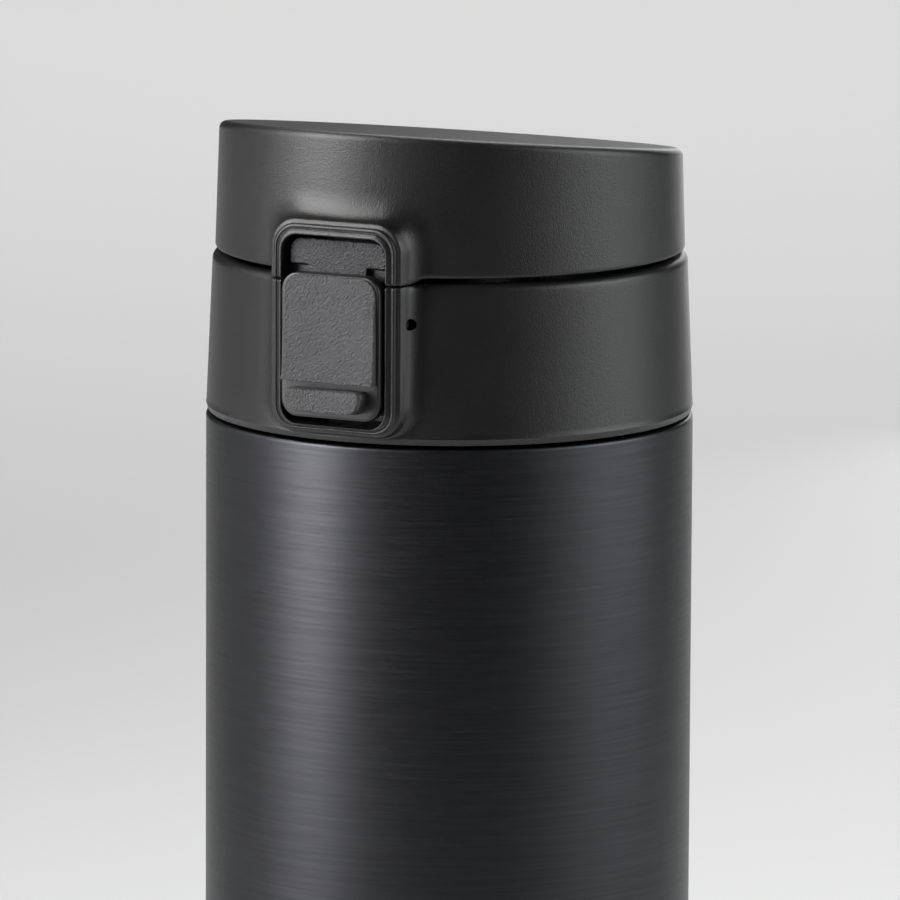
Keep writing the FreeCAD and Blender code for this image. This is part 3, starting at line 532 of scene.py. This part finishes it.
class MouldedShell:
    """A round shell whose wall carries half of the latch frame.

    Heights run from the split edge between the two shells: up for the lid, down for the collar."""

    def __init__(self, split, sign, frame_split, radius, edge_round, rows, window, ridge,
                 fillet_side, fillet_top, stretch=lambda angle: 1.0):
        self.stretch = stretch
        self.split, self.sign, self.frame_start = split, sign, frame_split
        self.radius, self.edge_round, self.rows = radius, edge_round, rows
        self.window, self.ridge = window, ridge
        self.fillet_side, self.fillet_top = fillet_side, fillet_top
        self.columns = 264
        self.patch_half = 23
        self.vertices, self.faces = [], []

    def wall_radius(self, height, start=0.0):
        """Outside radius at a height from the split edge, rounded off at the edge itself."""
        edge = np.maximum(self.edge_round - (height - start), 0.0)
        drop = self.edge_round - np.sqrt(np.maximum(self.edge_round ** 2 - edge ** 2, 0.0))
        return self.radius(height) - drop

    def start_height(self, across):
        """The shells reach further at the latch frame, where only a hairline gap is left."""
        return self.frame_start * (1 - smooth_step((abs(across) - 9.9) / 1.5))

    def on_wall(self, across, height, start):
        r = self.wall_radius(height, start)
        return np.sqrt(np.maximum(r ** 2 - across ** 2, 1.0))

    def add_point(self, across, height, forward):
        self.vertices.append((across, -forward, self.split + self.sign * height))
        return len(self.vertices) - 1

    def build(self, beyond):
        """beyond(angle) gives the points of a column past the last wall row, as (r, height)."""
        step = 2 * math.pi / self.columns
        angles = [step * k for k in range(self.columns)]
        grid = {}
        rows = self.rows
        half = self.patch_half

        def column_offset(k):
            return k if k <= self.columns // 2 else k - self.columns

        stretch = [self.stretch(angle) for angle in angles]

        for k in range(self.columns):
            inside_patch = abs(column_offset(k)) < half
            for m, height in enumerate(rows):
                if inside_patch and m < len(rows) - 1:
                    continue
                height *= stretch[k]
                r = self.wall_radius(height)
                grid[k, m] = self.add_point(r * math.sin(angles[k]), height, r * math.cos(angles[k]))
            for n, (r, height) in enumerate(beyond(angles[k])):
                grid[k, len(rows) + n] = self.add_point(r * math.sin(angles[k]), height,
                                                        r * math.cos(angles[k]))
        total_rows = max(m for k, m in grid) + 1
        for k in range(self.columns):
            after = (k + 1) % self.columns
            for m in range(total_rows - 1):
                corners = [(k, m), (after, m), (after, m + 1), (k, m + 1)]
                if all(c in grid for c in corners):
                    offsets = [abs(column_offset(c[0])) for c in corners]
                    if m < len(rows) - 1 and max(offsets) <= half and min(offsets) < half:
                        continue
                    self.faces.append(tuple(grid[c] for c in corners))

        order = [((-half) % self.columns, m) for m in range(len(rows))]
        order += [(k % self.columns, len(rows) - 1) for k in range(-half + 1, half)]
        order += [(half, m) for m in range(len(rows) - 1, -1, -1)]
        outer_ring = [grid[c] for c in order]
        self.add_frame(outer_ring)

    def add_frame(self, outer_ring):
        rows = np.array(self.rows)
        half = self.patch_half
        leg_shares = rows / rows[-1]
        outer = np.array([(self.vertices[v][0], (self.vertices[v][2] - self.split) * self.sign)
                          for v in outer_ring])
        width = outer[len(rows) - 1][0]
        top_shares = [(outer[len(rows) - 1 + k][0] - width) / (-2 * width) for k in range(2 * half + 1)]

        def arch(sizes):
            half_width, top, corner = sizes
            start = self.start_height(half_width)
            return leg_and_top(half_width, top, corner, start, leg_shares, top_shares)

        window, _ = arch(self.window)
        ridge, outward = arch(self.ridge)
        rings = []
        profile = [(0.0, -1.0), (0.0, -0.15), (0.03, -0.04), (0.09, 0.0), (0.18, -0.04), (0.32, -0.17),
                   (0.45, -0.34), (0.49, -0.44), (0.53, -0.44), (0.57, -0.35), (0.62, -0.3), (0.7, -0.3),
                   (0.78, -0.36), (0.83, -0.45), (0.86, -0.62), (0.91, -0.68), (1.0, -0.75)]

        def softened(points, forward):
            above = points[:, 1] - self.start_height(points[:, 0])
            return forward - np.array([rounding(0.3, max(a, 0.0)) for a in above])

        for share, drop in profile:
            points = window * (1 - share) + ridge * share
            rings.append((points, softened(points, np.full(len(points), LIP + drop))))
        roll = 0.45
        for degrees in (18, 36, 54, 72):
            turn = math.radians(degrees)
            points = ridge + outward * roll * math.sin(turn)
            rings.append((points,
                          softened(points, np.full(len(points), FACE - roll * (1 - math.cos(turn))))))
        upright = np.abs(outward[:, 1])
        reach = self.fillet_side * (1 - upright) + self.fillet_top * upright
        foot = ridge + outward * (roll + 0.02)
        starts = self.start_height(foot[:, 0])
        floor = self.on_wall(foot[:, 0], foot[:, 1], starts)
        depth = np.maximum((FACE - roll * 0.9 - floor) * 0.97, 0.03)
        rise = np.minimum(0.85 * reach, depth)
        wall = foot + outward * 0.25 * (1 - upright)[:, None]
        wall_forward = floor + rise
        tall_wall = (depth - rise) > 0.2
        rings.append((foot, softened(foot, np.where(tall_wall, FACE - roll, wall_forward + 0.02))))
        foot = wall
        for degrees in (4, 14, 26, 38, 50, 62, 76, 90):
            turn = math.radians(degrees)
            points = foot + outward * (reach * (1 - math.cos(turn)))[:, None]
            starts = self.start_height(points[:, 0])
            points[:, 1] = np.maximum(points[:, 1], starts)
            forward = self.on_wall(points[:, 0], points[:, 1], starts) + rise * (1 - math.sin(turn))
            rings.append((points, forward))
        last = rings[-1][0]
        for share in (0.15, 0.35, 0.6, 0.82):
            points = last * (1 - share) + outer * share
            starts = self.start_height(points[:, 0])
            for end in (0, -1):
                points[end, 1] = starts[end]
            rings.append((points, self.on_wall(points[:, 0], points[:, 1], starts)))
        for ring_points, _ in rings:
            starts = self.start_height(ring_points[:, 0])
            for end in (0, -1):
                ring_points[end, 1] = starts[end]
        made = [[self.add_point(p[0], p[1], f) for p, f in zip(points, forward)]
                for points, forward in rings]
        made.append(outer_ring)
        for inner, outside in zip(made[:-1], made[1:]):
            for k in range(len(inner) - 1):
                self.faces.append((inner[k], inner[k + 1], outside[k + 1], outside[k]))


def thickened(vertices, faces, inner):
    """Closes a sheet into a solid: its inner copy, and strips along every open edge."""
    count = len(vertices)
    edges = {}
    for face in faces:
        for a, b in zip(face, face[1:] + face[:1]):
            edges.setdefault(frozenset((a, b)), []).append((a, b))
    strips = [(b, a, a + count, b + count) for uses in edges.values() if len(uses) == 1 for a, b in uses]
    back = [tuple(index + count for index in reversed(face)) for face in faces]
    return list(vertices) + list(inner), list(faces) + back + strips


def wall_rows(spots, last, spacing):
    """Row heights: the named spots near the edge, then an even spacing up to the last row."""
    count = max(2, int(round((last - spots[-1]) / spacing)))
    return list(spots) + [spots[-1] + (last - spots[-1]) * (k + 1) / count for k in range(count)]


def make_lid():
    """The outer lid: tapered wall, sloping top, its half of the frame, tongues for the hook, knuckles."""
    top_edge_r = 31

    def radius(height):
        return LID_LOW_R - LID_TAPER * np.asarray(height, float)

    round_off = 1.1

    def plane(y):
        """Height of the sloping top above the lid's lower edge."""
        return LID_MID - LID_LOW - LID_SLOPE * y

    def stretch(angle):
        return (plane(-top_edge_r * math.cos(angle)) - round_off) / (plane(-top_edge_r) - round_off)

    shell = MouldedShell(split=LID_LOW, sign=1, frame_split=-0.6, radius=radius, edge_round=0.4,
                         rows=wall_rows([0.0, 0.05, 0.12, 0.22, 0.4, 0.7], last=13.4, spacing=0.62),
                         window=(7.74, 5.4, 2.3), ridge=(9.3, 7.03, 3.4), fillet_side=2.25, fillet_top=3.6,
                         stretch=stretch)

    def beyond(angle):
        points = []
        start = shell.rows[-1] * stretch(angle)
        edge = float(radius(14.0))
        wall_top = plane(-edge * math.cos(angle)) - round_off - 0.05
        for share in (0.25, 0.5, 0.75, 1.0):
            height = start + (wall_top - start) * share
            points.append((float(radius(height)), height))
        rim = float(radius(wall_top))
        for degrees in (12, 24, 36, 48, 60, 72, 82, 90):
            turn = math.radians(degrees)
            r = rim - round_off * (1 - math.cos(turn))
            points.append((r, plane(-r * math.cos(angle)) - round_off * (1 - math.sin(turn))))
        for r in (29.4, 28, 24, 18, 12, 6, 0.0):
            points.append((r, plane(-r * math.cos(angle))))
        return points

    shell.build(beyond)
    inner = []
    for x, y, z in shell.vertices:
        height = z - LID_LOW
        across = math.hypot(x, y)
        limit = float(radius(height)) - LID_WALL
        ceiling = plane(y) - LID_WALL
        if across > 30.0 and height < ceiling and abs(x) < 13 and y < 0:
            inner.append((x, -math.sqrt(max(limit ** 2 - x ** 2, 1)), z))
            continue
        scale = min(1.0, limit / across) if across > 0 else 1.0
        inner.append((x * scale, y * scale, min(z, LID_LOW + plane(y * scale) - LID_WALL)))
    wall = with_cuts(thickened(shell.vertices, shell.faces, inner),
                     [rod((HINGE_Y, HINGE_Z), 2.75, -11.6, 11.6, 72)])
    parts = [wall]
    for side in (-1, 1):
        start, end = sorted((side * 3.9, side * 7.35))
        parts.append(hinge_leaf([(30.4, HINGE_Z + 0.7), (33.4, HINGE_Z + 0.2), (35.05, HINGE_Z + 1.75),
                                 (31.5, HINGE_Z + 7.8), (30.4, HINGE_Z + 7.8)], start, end, 0.97))
        start, end = sorted((side * 4.7, side * 7.9))
        parts.append(prism([(-31.8, SEAM + 22.1), (-29.8, SEAM + 22.1), (-29.8, SEAM + 23.55),
                            (-31.8, SEAM + 23.55)], start, end, side_view))
    return new_piece("lid_shell_look", *merged(parts), LID_PLASTIC, "lid", ("lid_shell",),
                     "lid_plastic", 50)


def make_collar():
    """The cap's housing: tapered wall, its half of the frame, the pocket behind the push plate, lugs."""
    tall = COLLAR_HIGH - COLLAR_LOW

    def radius(height):
        share = np.asarray(height, float) / tall
        return COLLAR_HIGH_R + (COLLAR_LOW_R - COLLAR_HIGH_R) * share

    shell = MouldedShell(split=COLLAR_HIGH, sign=-1, frame_split=0.15, radius=radius, edge_round=1.0,
                         rows=wall_rows([0.0, 0.03, 0.08, 0.16, 0.3, 0.5, 0.75, 1.0], last=tall - 1.0,
                                        spacing=0.75),
                         window=(7.74, 19.3, 2.4), ridge=(9.3, 20.15, 3.2), fillet_side=2.0, fillet_top=0.3)

    def beyond(_angle):
        bevel_r = COLLAR_LOW_R - 0.2
        points = [(COLLAR_LOW_R, tall - 0.92), (COLLAR_LOW_R - 0.01, tall - 0.88),
                  (COLLAR_LOW_R - 0.04, tall - 0.84)]
        for degrees in (0, 30, 60, 90):
            turn = math.radians(degrees)
            points.append((bevel_r - 0.22 * (1 - math.cos(turn)), tall - 0.22 + 0.22 * math.sin(turn)))
        return points

    shell.build(beyond)
    inner = []
    for x, y, z in shell.vertices:
        across = math.hypot(x, y)
        if abs(x) < 13 and y < 0:
            inner.append((x, -math.sqrt(COLLAR_BORE ** 2 - x ** 2), z))
        else:
            inner.append((x * COLLAR_BORE / across, y * COLLAR_BORE / across, z))
    holes = [rod((HINGE_Y, HINGE_Z), 2.8, -11.5, 11.5, 72)]
    pin_hole_r, hole_end, outside = 0.8, 8.5, 13
    holes += [rod((PIVOT_Y, PIVOT_Z), pin_hole_r, hole_end, outside),
              rod((PIVOT_Y, PIVOT_Z), pin_hole_r, -outside, -hole_end)]
    sheet = with_cuts(thickened(shell.vertices, shell.faces, inner), holes)
    side, opening, back, front = 9.4, 7.74, 27.6, 30.4
    tray = [(-side, -front), (-opening, -front), (-opening, -back), (opening, -back),
            (opening, -front), (side, -front), (side, -back + 1), (-side, -back + 1)]
    pocket = prism(tray, SEAM + 0.9, SEAM + 21.6, lambda x, y, z: (x, y, z))
    floor = prism([(-side, -front), (side, -front), (side, -back + 1), (-side, -back + 1)],
                  SEAM + 0.9, SEAM + 2.55, lambda x, y, z: (x, y, z))
    lugs = [hinge_leaf([(30.8, HINGE_Z - 8), (32.3, HINGE_Z - 8), (35.05, HINGE_Z - 1.75),
                        (33.4, HINGE_Z - 0.4), (30.8, HINGE_Z - 0.4)],
                       *sorted((side * 7.7, side * 11.2)), 0.9)
            for side in (-1, 1)]
    return new_piece("collar_look", *merged([sheet, pocket, floor] + lugs), CAP_PLASTIC, "cap", ("collar",),
                     "cap_plastic", 50)


make_lid()
make_collar()


# ------------------------------------------------------------------ smaller pieces

def loft(sections):
    """A closed solid through sections with equal numbers of points."""
    count = len(sections[0])
    vertices = [point for section in sections for point in section]
    faces = [tuple(range(count))[::-1], tuple(range(count * (len(sections) - 1), count * len(sections)))]
    for level in range(len(sections) - 1):
        for k in range(count):
            a, b = level * count + k, level * count + (k + 1) % count
            faces.append((a, b, b + count, a + count))
    return vertices, faces


def plate_section(half, back, face, edge, height):
    """A level cut through a plate: straight back, and a front whose vertical edges are rounded."""
    points = [(-half, -back, height)]
    for degrees in (0, 22.5, 45, 67.5, 90):
        turn = math.radians(degrees)
        points.append((-half + edge * (1 - math.cos(turn)), -(face - edge * (1 - math.sin(turn))), height))
    for share in (-0.5, 0.0, 0.5):
        points.append((share * 2 * (half - edge) * 0.9, -face, height))
    points += [(-x, y, z) for x, y, z in reversed(points[:6])]
    return points


def make_slider():
    """Push plate: a smooth base plate with a rib, a grained pad that leans out at its foot, a thumb ledge."""
    top, bottom, half = SEAM + 22.98, SEAM + 3.6, 7.35
    back, base, corner, edge = 33.25, 35.0, 2.4, 0.3
    pad_half, pad_low, pad_high = 6.85, SEAM + 8.6, SEAM + 22.85
    pad_top_face, pad_low_face = 35.3, 36.05

    def half_width(z, width, lower, upper, lower_corner=corner):
        from_top, from_bottom = max(upper - z, 0.0), max(z - lower, 0.0)
        if from_top < corner:
            return width - corner + math.sqrt(max(corner ** 2 - (corner - from_top) ** 2, 0.0))
        if from_bottom < lower_corner:
            return width - lower_corner + math.sqrt(
                max(lower_corner ** 2 - (lower_corner - from_bottom) ** 2, 0.0))
        return width

    ends = (0.0, 0.03, 0.1, 0.2, 0.35, 0.6, 0.9, 1.3, 1.8, 2.4)

    def base_face(z):
        return base - rounding(edge, min(z - bottom, top - z))

    levels = [bottom + e for e in ends] + [top - e for e in reversed(ends)]
    plate = loft([plate_section(half_width(z, half, bottom, top), back, base_face(z), edge, z)
                  for z in levels])
    rib = prism([(-1.2, SEAM + 8.6), (1.2, SEAM + 8.6), (1.2, SEAM + 11.4), (-1.2, SEAM + 11.4)],
                29.95, back + 0.3, front_view)

    stem_sections = []
    for z, w, reach in ((4.5, 3.6, 35.2), (4.6, 4.2, 35.8), (4.9, 4.9, 36.5), (5.4, 5.2, 36.9),
                        (6.2, 5.5, 37.1), (7.0, 5.6, 37.15), (7.5, 5.5, 37.15), (7.65, 5.4, 37.1),
                        (7.72, 5.2, 36.9)):
        stem_sections.append(plate_section(w, base - 0.4, reach, 0.5, SEAM + z))
    # The base plate takes the darker copy of the push plastic; that darker colour is painted shade
    new_piece("lock_slider_look", *merged([plate, loft(stem_sections), rib]), PUSH_PLASTIC_PAINTED_SHADE, "lock",
              ("lock_slider",), "push_plastic", 38)

    def pad_face(z):
        lean = pad_low_face + (pad_top_face - pad_low_face) * (z - pad_low) / (pad_high - pad_low)
        lip = 0.3 * smooth_step((pad_low + 0.75 - z) / 0.5)
        return lean + lip - rounding(0.3, pad_high - z) - rounding(0.12, z - pad_low)

    small = (0.0, 0.01, 0.03, 0.07, 0.13, 0.25, 0.35, 0.45, 0.55, 0.65, 0.75, 0.9)
    levels = ([pad_low + e for e in small] + [pad_low + 5, pad_low + 9]
              + [pad_high - e for e in reversed(ends)])
    pad = loft([plate_section(half_width(z, pad_half, pad_low, pad_high, 0.2), base - 0.4,
                              pad_face(z), 0.25, z)
                for z in levels])

    tip_low, tip_high, tip_half, tip_face = SEAM + 4.75, SEAM + 7.85, 5.5, 37.75
    tip = []
    for share in (0.0, 0.01, 0.03, 0.07, 0.13, 0.22, 0.35, 0.5, 0.7, 0.85, 0.92, 0.96, 0.985, 1.0):
        z = tip_low + (tip_high - tip_low) * share
        from_low, from_high = z - tip_low, tip_high - z
        width = tip_half - rounding(1.9, from_low) - rounding(0.6, from_high)
        face = tip_face - rounding(0.3, from_low) - rounding(0.3, from_high)
        tip.append(plate_section(width, 36.6, face, 0.3, z))
    new_piece("lock_slider_grip_look", *merged([pad, loft(tip)]), PUSH_PLASTIC, "lock", ("lock_slider",),
              "push_plastic", 38)


def make_lever():
    """The rocking lever: T-shaped head with its hook, neck, foot, pivot barrel, and the rib's slot."""
    head, neck, front, back = 7.1, 4.3, 32.95, 31.15
    outline = rounded_path([(-head, SEAM + 23.87), (-neck, SEAM + 23.87), (-neck, SEAM + 14),
                            (neck, SEAM + 14), (neck, SEAM + 23.87), (head, SEAM + 23.87),
                            (head, SEAM + 27.28), (-head, SEAM + 27.28)],
                           [0.25, 0.35, 0.2, 0.2, 0.35, 0.25, 2.7, 2.7], 10)
    tee = bevelled(new_piece("latch_lever_look", *prism(outline, back, front, front_view), PUSH_PLASTIC,
                             "latch", ("latch_lever",), "push_plastic"), 0.3)
    foot = prism(rounded_path([(-head, SEAM + 4.3), (head, SEAM + 4.3), (head, SEAM + 15.6),
                               (-head, SEAM + 15.6)], 0.4),
                 back, front, front_view)
    combine(tee, *foot, "UNION")
    hook = prism(rounded_path([(-head + 0.3, SEAM + 24.2), (head - 0.3, SEAM + 24.2),
                               (head - 0.3, SEAM + 25.6), (-head + 0.3, SEAM + 25.6)], 0.3),
                 30.9, back + 0.2, front_view)
    combine(tee, *hook, "UNION")
    combine(tee, *rod((PIVOT_Y, PIVOT_Z), 1.2, -head, head), "UNION")
    combine(tee, *rod((PIVOT_Y, PIVOT_Z), 0.83, -head - 1, head + 1))
    slot = prism([(-1.55, SEAM + 8.25), (1.55, SEAM + 8.25), (1.55, SEAM + 15.05), (-1.55, SEAM + 15.05)],
                 29, 35, front_view)
    combine(tee, *slot)
    tee.data.polygons.foreach_set("use_smooth", [True] * len(tee.data.polygons))
    tee.data.set_sharp_from_angle(angle=math.radians(32))
    return tee


make_slider()
make_lever()


def make_bottle():
    """The outer shell with its foot, shoulder, neck and thread."""
    r, wall, shoulder = BODY_R, 0.6, SHOULDER_Z
    neck, neck_inner, top = 23.6, 23.1, SEAM + 12
    section = rounded_path([
        (r - 2.4, 0.6), (r, 0.6), (r, shoulder), (neck, shoulder), (neck, top), (neck_inner, top),
        (neck_inner, shoulder - wall), (r - wall, shoulder - wall), (r - wall, 1.2), (r - 2.4, 1.2)],
        [0, 1.8, 0.55, 0.4, 0, 0, 0.3, 0.3, 1.2, 0], 10)
    ridge = thread_ridge(neck - 0.15, neck + 1.0, 0.9, 0.4, SEAM + 4.2, 6.0, 1.1)
    shell = lathe(section, steps=256)
    return new_piece("outer_shell_look", *merged([shell, ridge]), BLACK_STEEL, "bottle", ("outer_shell",),
                     "brushed_shell", 40)


make_bottle()


def make_inner_pieces():
    """The pieces that show when the lid is open or the cap is off, with their moulded roundings."""
    deck, plate, spout_y = SEAM + 15.2, SEAM + 30.4, -4.0
    lathe_piece("spout_look", [
        (9.5, SEAM + 12.0), (11.2, SEAM + 12.0), (11.2, deck + 0.8), (14.1, deck + 0.8), (14.1, deck + 2.2),
        (12.3, deck + 3.4), (11.0, SEAM + 27.9), (9.5, SEAM + 27.9)],
        [0.2, 0.2, 0.1, 0.3, 0.6, 2.2, 0.74, 0.7], INNER_PLASTIC, "cap", "inner_plastic", spout_y)
    lathe_piece("lid_liner_look", [
        (0, plate), (27.9, plate), (27.9, SEAM + 23.2), (29.3, SEAM + 23.2), (29.3, plate - 0.1),
        (29.6, plate + 0.1), (29.6, plate + 1.2), (0, plate + 1.2)],
        [0, 1.2, 0.5, 0.5, 0, 0, 0.2, 0], INNER_PLASTIC, "lid", "inner_plastic")
    lathe_piece("lid_gasket_look", [
        (0, plate - 1.1), (8.9, plate - 1.1), (9.3, plate - 1.9), (11.7, plate - 1.9), (12.1, plate - 1.1),
        (12.9, plate - 1.1), (12.9, plate), (0, plate)],
        [0, 0.4, 0.4, 0.4, 0.3, 0.4, 0, 0], SILICONE, "lid", "silicone", spout_y)
    lathe_piece("foot_pad_look", [
        (0, 0), (28.0, 0), (28.0, 1.85), (3, 1.85), (3, 0.9), (0, 0.9)],
        [0, 0.6, 0.1, 0, 0, 0], FOOT_RUBBER, "bottle", "foot_rubber")


make_inner_pieces()


def make_latch_spring():
    """The small spring behind the lever's foot, made as a coil at rest; in the latch the lever presses it
    flat as it rocks.
    """
    height = SEAM + 6.0
    spring = new_piece("latch_spring_look",
                       *coil(1.2, 0.25, 3.4, 4, lambda a, b, along: (a, -27.65 - along, height + b)),
                       PIN_STEEL, "cap", ("latch_spring",), "pin_steel")
    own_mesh(spring)


make_latch_spring()

NODE_MATERIALS = {
    "inner_vessel": BARE_STEEL, "base_plate": BARE_STEEL, "vacuum_seal": SEAL_METAL, "radiation_foil": FOIL,
    "getter": GETTER_METAL, "cap_core": INNER_PLASTIC, "spout_gasket": SILICONE, "neck_gasket": SILICONE,
    "hinge_pin": PIN_STEEL, "lid_spring": PIN_STEEL, "latch_pin": PIN_STEEL,
    "slider_clip": PIN_STEEL,
}
for name, mat in NODE_MATERIALS.items():
    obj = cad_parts[name]
    obj.data.materials.clear()
    obj.data.materials.append(mat)

# ------------------------------------------------------------------ stage, light and camera

CAMERA_AZIMUTH = math.radians(27)
CAMERA_DISTANCE, CAMERA_HEIGHT = 1.3095, SEAM * MM + 0.21275


def floor_material():
    mat = material("studio_floor", (0.8, 0.8, 0.8), roughness=0.9, specular=0.1)
    cloud = noise(mat, object_coordinates(mat), 2.0, 2.0)
    vary_color(mat, cloud, (0.79, 0.795, 0.79), (0.81, 0.815, 0.81))
    return mat


def make_floor():
    size = 9.0
    mesh = bpy.data.meshes.new("floor")
    mesh.from_pydata([(-size, -size, 0), (size, -size, 0), (size, size, 0), (-size, size, 0)], [],
                     [(0, 1, 2, 3)])
    mesh.materials.append(floor_material())
    obj = bpy.data.objects.new("floor", mesh)
    bpy.context.scene.collection.objects.link(obj)


def around_camera(degrees, distance, height):
    """A point at a bearing from the camera's own bearing; positive goes to the camera's right."""
    angle = CAMERA_AZIMUTH + math.radians(degrees)
    return Vector((distance * math.sin(angle), -distance * math.cos(angle), height))


def soft_box(name, place, target, width, tall, power, color, spread):
    data = bpy.data.lights.new(name, "AREA")
    data.shape = "RECTANGLE"
    data.size, data.size_y = width, tall
    data.energy = power
    data.color = color
    data.spread = math.radians(spread)
    obj = bpy.data.objects.new(name, data)
    bpy.context.scene.collection.objects.link(obj)
    obj.location = place
    obj.rotation_mode = "QUATERNION"
    obj.rotation_quaternion = (target - place).to_track_quat("-Z", "Y")
    obj.visible_camera = False


def make_lights():
    """Upright soft boxes round the flask, each with its bearing, power and colour; then three from above."""
    aim, white = Vector((0, 0, 0.17)), (1, 1, 1)
    height, tall, spread = 0.45, 0.9, 90
    key_distance, key_width = 0.85, 0.43
    side_distance, side_width = 0.95, 0.34
    for name, bearing, power, color in (("key", -67, 4.6, (1.0, 0.985, 1.0)),
                                        ("key_side", -112, 0.24, white)):
        soft_box(name, around_camera(bearing, key_distance, height), aim, key_width, tall, power, color,
                 spread)
    for name, bearing, power, color in (("fill", 55, 0.34, white), ("side", 75, 1.0, white),
                                        ("side_back", 95, 0.88, (0.95, 1.0, 1.0)),
                                        ("rim", 165, 0.61, white)):
        soft_box(name, around_camera(bearing, side_distance, height), aim, side_width, tall, power, color,
                 spread)
    soft_box("high_key", around_camera(-82, 0.55, 0.8), Vector((0, 0, 0.2)), width=0.16, tall=0.16,
             power=0.12, color=(1.0, 0.96, 0.92), spread=40)
    soft_box("top_back", around_camera(180, 0.9, 1.3), aim, width=1.0, tall=0.5, power=0.83,
             color=white, spread=60)
    behind = 1.86
    soft_box("backdrop", around_camera(180, behind, 1.6), around_camera(180, behind, 0), width=2.6,
             tall=2.6, power=20.5, color=white, spread=100)
    world = bpy.data.worlds.new("studio")
    bpy.context.scene.world = world
    world.use_nodes = True
    background = world.node_tree.nodes["Background"]
    background.inputs["Color"].default_value = (0.9, 0.9, 0.9, 1)
    background.inputs["Strength"].default_value = 0.005


def make_camera():
    data = bpy.data.cameras.new("camera")
    data.lens = 390.1
    data.sensor_width = 36
    obj = bpy.data.objects.new("camera", data)
    bpy.context.scene.collection.objects.link(obj)
    aside = Vector((math.cos(CAMERA_AZIMUTH), math.sin(CAMERA_AZIMUTH), 0)) * 0.0001
    place = around_camera(0, CAMERA_DISTANCE, CAMERA_HEIGHT) + aside
    pitch, roll = math.radians(9.469), math.radians(0.282)
    ahead = Matrix.Rotation(CAMERA_AZIMUTH, 4, "Z") @ Matrix.Rotation(math.pi / 2 - pitch, 4, "X")
    obj.matrix_world = Matrix.Translation(place) @ ahead @ Matrix.Rotation(roll, 4, "Z")
    data.clip_start, data.clip_end = 0.05, 60
    bpy.context.scene.camera = obj


make_floor()
make_lights()
make_camera()
bpy.context.scene.view_settings.view_transform = "Standard"
